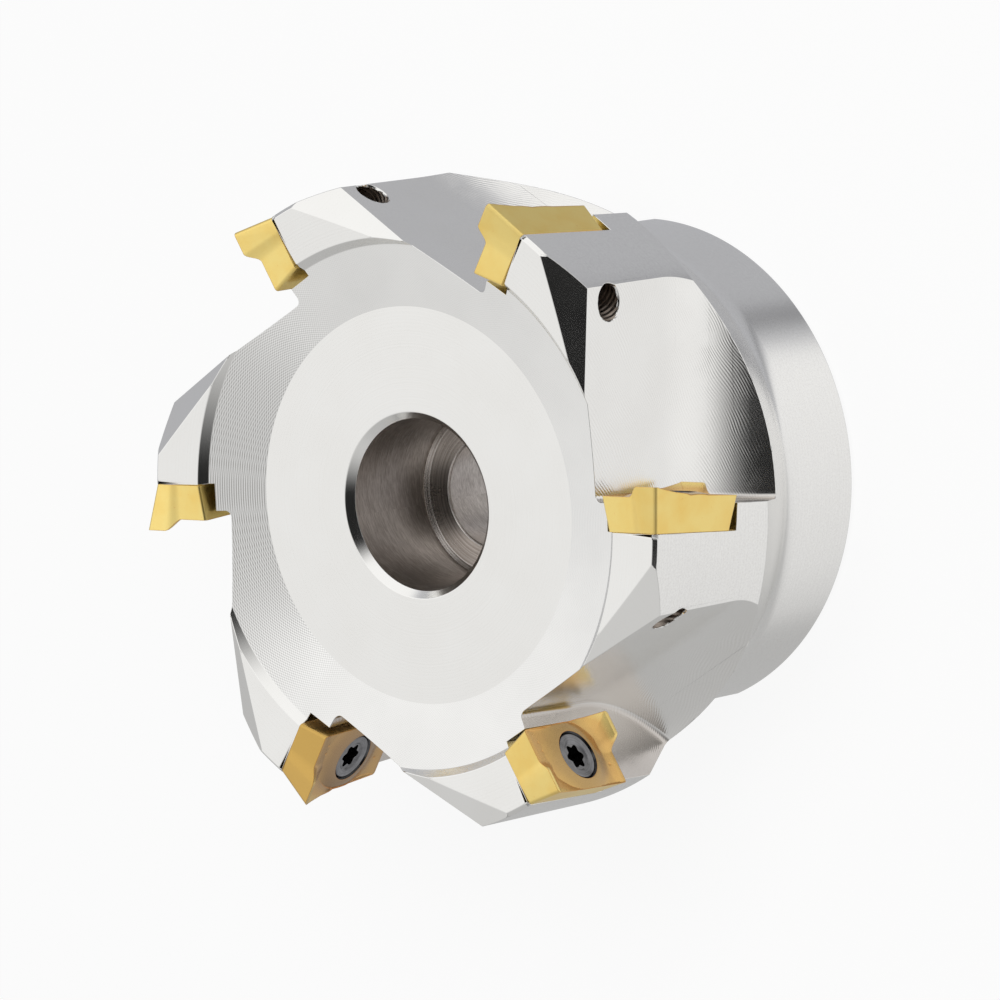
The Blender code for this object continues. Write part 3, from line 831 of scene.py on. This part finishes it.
def insert_hole():
    """The insert's hole, with the cone that the screw head pulls on."""
    slope = math.tan(math.radians(CONE_ANGLE))
    cone_foot = BOSS_HEIGHT - (INSERT_HOLE_RADIUS - SHANK_HOLE_RADIUS) / slope
    top = NOSE_HEIGHT + OVERRUN
    outline = [(0.0, -OVERRUN), (SHANK_HOLE_RADIUS, -OVERRUN), (SHANK_HOLE_RADIUS, cone_foot),
               (INSERT_HOLE_RADIUS, BOSS_HEIGHT), (INSERT_HOLE_RADIUS, top), (0.0, top)]
    return turned(outline, HOLE_STEPS)


def recess():
    """The six-lobe recess in the screw head."""
    rings = []
    for depth, inset in ((RECESS_DEPTH, RECESS_TAPER), (RECESS_RING_DEPTH, 0.0), (-RECESS_RING_DEPTH, 0.0)):
        ring = []
        for step in range(RECESS_STEPS):
            angle = 2 * math.pi * step / RECESS_STEPS
            radius = RECESS_RADIUS - RECESS_LOBE * (1 - math.cos(6 * angle)) - inset
            ring.append((radius * math.cos(angle), radius * math.sin(angle), -depth))
        rings.append(ring)
    return lofted(rings)


def screw_shape():
    """One insert screw, with its head's top at its origin and its shank along -Z."""
    slope = math.tan(math.radians(CONE_ANGLE))
    cone_foot = -HEAD_RIM - (HEAD_RADIUS - SHANK_RADIUS) / slope
    outline = [
        (0.0, -SCREW_LENGTH),
        (SHANK_RADIUS - SCREW_END_CHAMFER, -SCREW_LENGTH),
        (SHANK_RADIUS, -SCREW_LENGTH + SCREW_END_CHAMFER),
        (SHANK_RADIUS, cone_foot),
        (HEAD_RADIUS, -HEAD_RIM),
        (HEAD_RADIUS - HEAD_ROUNDING / 5, -HEAD_ROUNDING / 2),
        (HEAD_RADIUS - HEAD_ROUNDING, 0.0),
        (RECESS_RING_OUTER, -HEAD_DISH),
        (RECESS_RING_INNER, -RECESS_RING_DEPTH),
        (0.0, -RECESS_RING_DEPTH),
    ]
    return turned(outline, HOLE_STEPS)


def seat_of(point):
    """The seat whose gullet a point of the body belongs to."""
    best = None
    for place in SEATS:
        height = (place.inverted() @ point).z
        seat = place.translation
        turn = math.degrees(math.atan2(point.y, point.x) - math.atan2(seat.y, seat.x))
        ahead = (turn + SEAT_BEFORE) % 360.0 < SEAT_SECTOR
        if ahead and height > POCKET_FLOOR - SEAT_TOLERANCE and (best is None or height < best[0]):
            best = (height, place)
    return best[1] if best else SEATS[0]


def store_seats(mesh):
    """Keep each corner's place in its tooth's seat frame, for the tool marks."""
    layer = mesh.attributes.new("seat", "FLOAT_VECTOR", "CORNER")
    for face in mesh.polygons:
        back = seat_of(face.center).inverted()
        for loop in face.loop_indices:
            layer.data[loop].vector = back @ mesh.vertices[mesh.loops[loop].vertex_index].co


def make_body():
    """The plated body, turned and then milled."""
    outside = steel("nickel_outside", turning_side, (0.19, 0.22), dull=GRAIN_DULL, grain_height=0.0000020,
                    clouds=0.05, speckle=0.30)
    land = steel("nickel_land", turning_side, dull=GRAIN_DULL, grain_height=0.0000016,
                 clouds=0.05, speckle=0.35)
    rim = steel("nickel_rim", turning_fine)
    step = steel("nickel_step", step_rings, rough=(0.12, 0.18))
    # The ring's marks carry painted shade in their grooves
    ring = steel("nickel_ring", turning_braided, light=BRAID_LIGHT, dull=BRAID_DULL_AND_SHADE, clouds=0.05)
    disc = steel("nickel_disc", turning_fine)
    bore = steel("bore_wall", bore_marks, (0.28, 0.40), BORE_LIGHT, BORE_DARK)
    bore_end = steel("bore_end", bore_rings, (0.20, 0.30), BORE_LIGHT, BORE_DARK)
    web = steel("web_hole", bore_marks, (0.30, 0.42), WEB_LIGHT, WEB_DARK)
    # The milled faces carry painted shade in their grooves and towards the gullet's floor
    milled = steel("nickel_milled", mill_marks, (0.18, 0.27), dull=MILLED_DULL_AND_SHADE, clouds=0.08)
    ground = steel("nickel_ground", ground_marks, rough=(0.10, 0.16))
    thread = steel("screw_thread", None, (0.34, 0.44), THREAD_LIGHT, THREAD_DARK)
    body = add_object("cutter_body", finish(body_shape(), "cutter_body"), outside, land, rim, step, ring,
                      disc, bore, bore_end, web)
    cut(body, "drive_slot", drive_slot(), ground)
    cut(body, "gullets", copies(gullet(), SEATS), milled)
    cut(body, "facets", copies(facet(), TEETH), ground)
    cut(body, "pockets", copies(pocket(), SEATS), ground)
    cut(body, "tapped_holes", copies(tapped_hole(), SEATS), thread)
    cut(body, "hole_mouths", copies(hole_mouth(), SEATS), ground)
    settle(body)
    smooth(body.data)
    edges = body.modifiers.new("edges", "BEVEL")
    edges.width = EDGE_BREAK
    edges.segments = 2
    edges.limit_method = "ANGLE"
    edges.angle_limit = math.radians(EDGE_ANGLE)
    edges.use_clamp_overlap = False
    edges.harden_normals = True
    settle(body)
    settle_normals(body.data)
    store_seats(body.data)
    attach(body, "root")
    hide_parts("body")


def worn_and_shaded_edges(nodes):
    """The normal with its edges rounded, and a mask that is 1 on them. The mask colours the edges: partly edge
    wear, partly painted shade along the rounded edge.
    """
    round_edge = nodes.add("ShaderNodeBevel", {"Radius": EDGE_WEAR_RADIUS}, samples=6).outputs["Normal"]
    true = nodes.add("ShaderNodeNewGeometry").outputs["Normal"]
    same = nodes.add("ShaderNodeVectorMath", {0: round_edge, 1: true}, operation="DOT_PRODUCT")
    return round_edge, nodes.ramp(same.outputs["Value"], 0.998, 0.95)


def painted_shade_of(nodes):
    """How much painted shade a surface's coating gets."""
    return nodes.add("ShaderNodeAttribute", attribute_type="GEOMETRY", attribute_name="painted_shade").outputs["Fac"]


def gold_material():
    """The bright coating on an insert's flanks."""
    material, nodes, shader, place = metal("gold_coating")
    cloud = nodes.noise(place, 300.0, detail=4.0)
    grain = nodes.noise(place, 7000.0, detail=3.0)
    spots = nodes.ramp(nodes.noise(place, 2600.0, detail=1.0), 0.74, 0.82)
    rounded, edge = worn_and_shaded_edges(nodes)
    colour = nodes.mix(nodes.ramp(cloud, 0.40, 0.75), GOLD, GOLD_DEEP)
    # Painted shade: each insert's share darkens the gold
    colour = nodes.mix(painted_shade_of(nodes), colour, GOLD_SHADED)
    colour = nodes.mix(nodes.math("MULTIPLY", spots, 0.25), colour, GOLD_EDGE)
    # Edges: partly edge wear, partly painted shade
    colour = nodes.mix(nodes.math("MULTIPLY", edge, 0.5), colour, GOLD_EDGE)
    nodes.put(shader.inputs["Base Color"], colour)
    nodes.put(shader.inputs["Roughness"], nodes.ramp(grain, 0.3, 0.7, 0.30, 0.38))
    nodes.put(shader.inputs["Normal"], nodes.bump(grain, 0.0000004, rounded))
    return material


def rake_material():
    """The coating on the rake face: khaki round the hole, tan outside, brighter gold on the raised lands,
    brown along the edges. The khaki and the brighter gold are partly the coating's own tone and partly painted
    reflection; the brown along the edges is partly edge wear and partly painted shade; each insert's painted
    shade darkens it towards the shaded khaki.
    """
    material, nodes, shader, place = metal("gold_rake")
    x, y, z = seat_place_of(nodes)
    cloud = nodes.noise(place, 380.0, detail=4.0)
    grain = nodes.noise(place, 7000.0, detail=3.0)
    from_axis = nodes.length(x, y)
    uneven = nodes.math("ADD", from_axis, nodes.math("MULTIPLY", cloud, 0.0012))
    # Khaki round the hole: partly the coating's own tone, partly painted reflection
    middle = nodes.ramp(uneven, 0.0036, 0.0060, 1.0, 0.0, True)
    rounded, edge = worn_and_shaded_edges(nodes)
    # Brighter gold on the raised lands: partly the coating's own tone, partly painted highlight
    rise = nodes.ramp(z, 0.0036, 0.0040, 0.0, 0.9)
    painted_shade = painted_shade_of(nodes)
    colour = nodes.mix(nodes.ramp(cloud, 0.35, 0.75, 0.0, 0.4), GOLD_TAN, GOLD_DEEP)
    colour = nodes.mix(rise, colour, GOLD)
    # Painted shade: each insert's share darkens the rake towards the shaded khaki
    khaki = nodes.mix(painted_shade, GOLD_KHAKI, KHAKI_SHADED)
    colour = nodes.mix(nodes.math("MULTIPLY", painted_shade, 0.6), colour, KHAKI_SHADED)
    colour = nodes.mix(nodes.math("MULTIPLY", middle, 0.85), colour, khaki)
    # Edges: partly edge wear, partly painted shade
    colour = nodes.mix(nodes.math("MULTIPLY", edge, 0.7), colour, GOLD_EDGE)
    nodes.put(shader.inputs["Base Color"], colour)
    nodes.put(shader.inputs["Roughness"], nodes.ramp(grain, 0.3, 0.7, 0.26, 0.34))
    nodes.put(shader.inputs["Normal"], nodes.bump(grain, 0.0000006, rounded))
    return material


def screw_material():
    """Dark steel, turned on the head."""
    material, nodes, shader, place = metal("screw_steel")
    x, y = seat_place_of(nodes)[:2]
    from_axis = nodes.length(x, y)
    cloud = nodes.noise(place, 900.0, detail=4.0)
    lines = nodes.noise(None, 14000.0, detail=2.0, dimensions="1D", w=from_axis)
    share = nodes.math("ADD", nodes.math("MULTIPLY", cloud, 0.5), nodes.math("MULTIPLY", lines, 0.5))
    colour = nodes.mix(nodes.ramp(share, 0.35, 0.65), rgb(0.40, 0.40, 0.41), rgb(0.60, 0.60, 0.61))
    nodes.put(shader.inputs["Base Color"], colour)
    nodes.put(shader.inputs["Roughness"], nodes.ramp(cloud, 0.3, 0.7, 0.26, 0.36))
    nodes.put(shader.inputs["Normal"], nodes.bump(lines, 0.000002))
    return material


def recess_material():
    """The near-black inside of the screw's recess, also used for the wall of the insert's hole round the
    screw: painted shade in the recess and in the gap.
    """
    material, nodes, shader, place = metal("painted_shade_black")
    cloud = nodes.noise(place, 3000.0, detail=3.0)
    colour = nodes.mix(cloud, (0.02, 0.02, 0.02, 1.0), (0.16, 0.16, 0.165, 1.0))
    nodes.put(shader.inputs["Base Color"], colour)
    shader.inputs["Roughness"].default_value = 0.28
    return material


def seated(mesh, place, lift, painted_shade):
    """A copy of a mesh on its seat. It keeps its place in the seat's frame and its share of painted shade for
    its material.
    """
    copy = mesh.copy()
    copy.transform(Matrix.Translation((0.0, 0.0, lift)))
    layer = copy.attributes.new("seat", "FLOAT_VECTOR", "POINT")
    for vertex in copy.vertices:
        layer.data[vertex.index].vector = vertex.co
    layer = copy.attributes.new("painted_shade", "FLOAT", "POINT")
    layer.data.foreach_set("value", [painted_shade] * len(copy.vertices))
    copy.transform(place)
    return copy


def make_inserts():
    """The six inserts and their screws."""
    coating, rake, steel_dark, black = gold_material(), rake_material(), screw_material(), recess_material()
    heights = (POCKET_FLOOR + SEAT_GAP, NOSE_HEIGHT + OVERRUN / 4)
    blank = lofted([insert_outline(height) for height in heights])
    blank = add_object("insert_blank", finish(blank, "insert"), coating)
    cut(blank, "rake_punch", rake_punch(), rake)
    # The wall of the insert's hole takes the near-black: painted shade in the gap round the screw
    cut(blank, "insert_hole", insert_hole(), black)
    insert = settle(blank).data
    smooth(insert)
    bpy.data.objects.remove(blank)
    screw = add_object("screw_blank", finish(screw_shape(), "screw"), steel_dark)
    # The recess takes the near-black: painted shade
    cut(screw, "recess", recess(), black)
    screw_mesh = settle(screw).data
    smooth(screw_mesh)
    bpy.data.objects.remove(screw)
    kinds = (("carbide_insert", insert, 0.0, "insert", "insert_coating"),
             ("clamp_screw", screw_mesh, HEAD_TOP, "insert_screw", "screw_steel"))
    for index, place in enumerate(SEATS, start=1):
        for name, mesh, lift, node, slot in kinds:
            # Each insert gets its share of painted shade
            piece = add_object(f"{name}_{index}", seated(mesh, place, lift, INSERT_SHADE[index - 1]))
            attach(piece, "root")
            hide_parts(f"{node}_{index}")
    for mesh in (insert, screw_mesh):
        bpy.data.meshes.remove(mesh)


# Studio

def light_path_mask(nodes):
    """1 for rays from the camera, reflections and refractions."""
    path = nodes.add("ShaderNodeLightPath")
    both = nodes.math("MAXIMUM", path.outputs["Is Camera Ray"], path.outputs["Is Glossy Ray"])
    return nodes.math("MAXIMUM", both, path.outputs["Is Transmission Ray"])


def make_world():
    """White to the camera and in reflections. Its light on matt surfaces is plain."""
    world = bpy.data.worlds.new("studio")
    bpy.context.scene.world = world
    world.use_nodes = True
    nodes = Nodes(world.node_tree)
    background = world.node_tree.nodes["Background"]
    nodes.put(background.inputs["Color"], (1.0, 1.0, 1.0, 1.0))
    nodes.put(background.inputs["Strength"], nodes.ramp(light_path_mask(nodes), 0.0, 1.0, WORLD_LIGHT, 1.0))


def bare_material(name):
    """A material without a shader yet."""
    material = bpy.data.materials.new(name)
    material.use_nodes = True
    tree = material.node_tree
    tree.nodes.remove(tree.nodes["Principled BSDF"])
    return material, Nodes(tree), tree.nodes["Material Output"].inputs["Surface"]


def make_floor():
    """The pale floor. It keeps the cutter's shadow."""
    shape = bmesh.new()
    bmesh.ops.create_grid(shape, x_segments=1, y_segments=1, size=FLOOR_SIZE)
    material, nodes, surface = bare_material("floor")
    floor = add_object("floor", finish(shape, "floor"), material)
    paint = nodes.add("ShaderNodeBsdfDiffuse", {"Color": (0.95, 0.95, 0.95, 1.0)})
    glow = nodes.add("ShaderNodeEmission", {"Color": (1.0, 1.0, 1.0, 1.0), "Strength": 1.0})
    blend = nodes.add("ShaderNodeMixShader")
    nodes.put(blend.inputs[0], nodes.math("MULTIPLY", light_path_mask(nodes), FLOOR_GLOW))
    nodes.put(blend.inputs[1], paint.outputs[0])
    nodes.put(blend.inputs[2], glow.outputs[0])
    nodes.put(surface, blend.outputs[0])
    floor.visible_glossy = False


def direction(azimuth, elevation):
    """The unit vector towards an azimuth and elevation."""
    azimuth, elevation = math.radians(azimuth), math.radians(elevation)
    level = math.cos(elevation)
    return (level * math.cos(azimuth), level * math.sin(azimuth), math.sin(elevation))


def patch(nodes, way, azimuth, elevation, inner, outer):
    """1 inside a round cloth seen in that direction, easing to 0 between two angles from its centre."""
    middle = direction(azimuth, elevation)
    near = nodes.add("ShaderNodeVectorMath", {0: way, 1: middle}, operation="DOT_PRODUCT").outputs["Value"]
    return nodes.ramp(near, math.cos(math.radians(outer)), math.cos(math.radians(inner)), smooth=True)


def make_tent():
    """The white studio tent with its grey and black cloths, which the metal reflects."""
    shape = bmesh.new()
    bmesh.ops.create_icosphere(shape, subdivisions=5, radius=TENT_RADIUS)
    material, nodes, surface = bare_material("tent")
    tent = add_object("tent", finish(shape, "tent"), material)
    place = nodes.add("ShaderNodeTexCoord").outputs["Object"]
    way = nodes.add("ShaderNodeVectorMath", {0: place}, operation="NORMALIZE").outputs["Vector"]
    x, y, z = nodes.add("ShaderNodeSeparateXYZ", {"Vector": way}).outputs
    azimuth = nodes.math("MULTIPLY", nodes.math("ARCTAN2", y, x), 180 / math.pi)
    elevation = nodes.math("MULTIPLY", nodes.math("ARCSINE", z), 180 / math.pi)

    # White cloth, brighter towards +Y
    white = nodes.math("ADD", nodes.ramp(y, -1.0, -0.3, 0.55, 0.79),
                       nodes.ramp(y, -0.3, 0.35, 0.0, 0.22, True))
    # Cloth below the horizon, brighter round towards +X, with a bright patch in front
    low = nodes.ramp(elevation, 0.0, -30.0, smooth=True)
    lit = nodes.math("ADD", nodes.ramp(azimuth, -95.0, -60.0, 0.62, 0.79),
                     nodes.ramp(azimuth, -60.0, 30.0, 0.0, 0.14))
    level = nodes.blend(low, white, lit)
    level = nodes.blend(patch(nodes, way, -12.0, -16.0, 12.0, 28.0), level, BRIGHT_LEVEL)
    # Grey below on the -Y side, lower towards the back
    drop = nodes.ramp(azimuth, -125.0, -155.0, 0.0, 24.0, True)
    side = nodes.math("MULTIPLY", nodes.ramp(azimuth, -84.0, -100.0, smooth=True),
                      nodes.ramp(nodes.math("ADD", elevation, drop), 45.0, 5.0, smooth=True))
    level = nodes.blend(side, level, SIDE_LEVEL)
    # Grey overhead
    level = nodes.blend(patch(nodes, way, -120.0, 80.0, 14.0, 26.0), level, OVER_LEVEL)
    # Grey below on the +Y side
    limit = nodes.ramp(azimuth, 80.0, 120.0, -22.0, 16.0)
    back = nodes.math("MULTIPLY", nodes.ramp(azimuth, 38.0, 52.0, smooth=True),
                      nodes.ramp(nodes.math("SUBTRACT", limit, elevation), -9.0, 9.0, smooth=True))
    level = nodes.blend(back, level, BACK_LEVEL)
    # Narrow dark band between two cloths, low on the +Y side
    aside = nodes.math("ABSOLUTE", nodes.math("SUBTRACT", azimuth, 60.0))
    band = nodes.math("MULTIPLY", nodes.ramp(aside, 8.0, 3.0, smooth=True),
                      nodes.ramp(elevation, 5.0, -15.0, smooth=True))
    level = nodes.blend(nodes.math("MULTIPLY", band, 0.9), level, BAND_LEVEL)
    # Black screen behind the camera
    across = nodes.math("MULTIPLY", nodes.ramp(azimuth, -80.0, -28.0, smooth=True),
                        nodes.ramp(azimuth, 60.0, 30.0, smooth=True))
    upward = nodes.math("MULTIPLY", nodes.ramp(elevation, -5.0, 27.0),
                        nodes.ramp(elevation, 88.0, 78.0, smooth=True))
    level = nodes.blend(nodes.math("MULTIPLY", across, upward), level, BLACK_LEVEL)

    glow = nodes.add("ShaderNodeEmission", {"Strength": level})
    nodes.put(glow.inputs["Color"], nodes.mix(back, (1.0, 1.0, 1.0, 1.0), (0.98, 0.99, 1.04, 1.0)))
    nodes.put(surface, glow.outputs[0])
    material.cycles.emission_sampling = "NONE"
    tent.visible_camera = False
    tent.visible_diffuse = False
    tent.visible_shadow = False
    tent.visible_transmission = False


def make_lamp():
    """A soft square lamp that lights the floor and matt surfaces."""
    data = bpy.data.lights.new("key", "AREA")
    data.energy = LAMP_POWER
    data.size = LAMP_SIZE
    item = bpy.data.objects.new("key", data)
    bpy.context.scene.collection.objects.link(item)
    item.location = LAMP_PLACE
    item.rotation_euler = (Vector(LAMP_AIM) - Vector(LAMP_PLACE)).to_track_quat("-Z", "Y").to_euler()
    item.visible_glossy = False


def make_camera():
    """The camera at the photograph's place."""
    data = bpy.data.cameras.new("camera")
    item = bpy.data.objects.new("camera", data)
    bpy.context.scene.collection.objects.link(item)
    item.matrix_world = Matrix(CAMERA_FRAME)
    data.sensor_width = SENSOR_WIDTH
    data.lens = LENS
    data.clip_start = 0.1
    data.clip_end = 20.0
    bpy.context.scene.camera = item


def main():
    bpy.context.scene.view_settings.view_transform = "Standard"
    make_body()
    make_inserts()
    make_world()
    make_floor()
    make_tent()
    make_lamp()
    make_camera()


main()
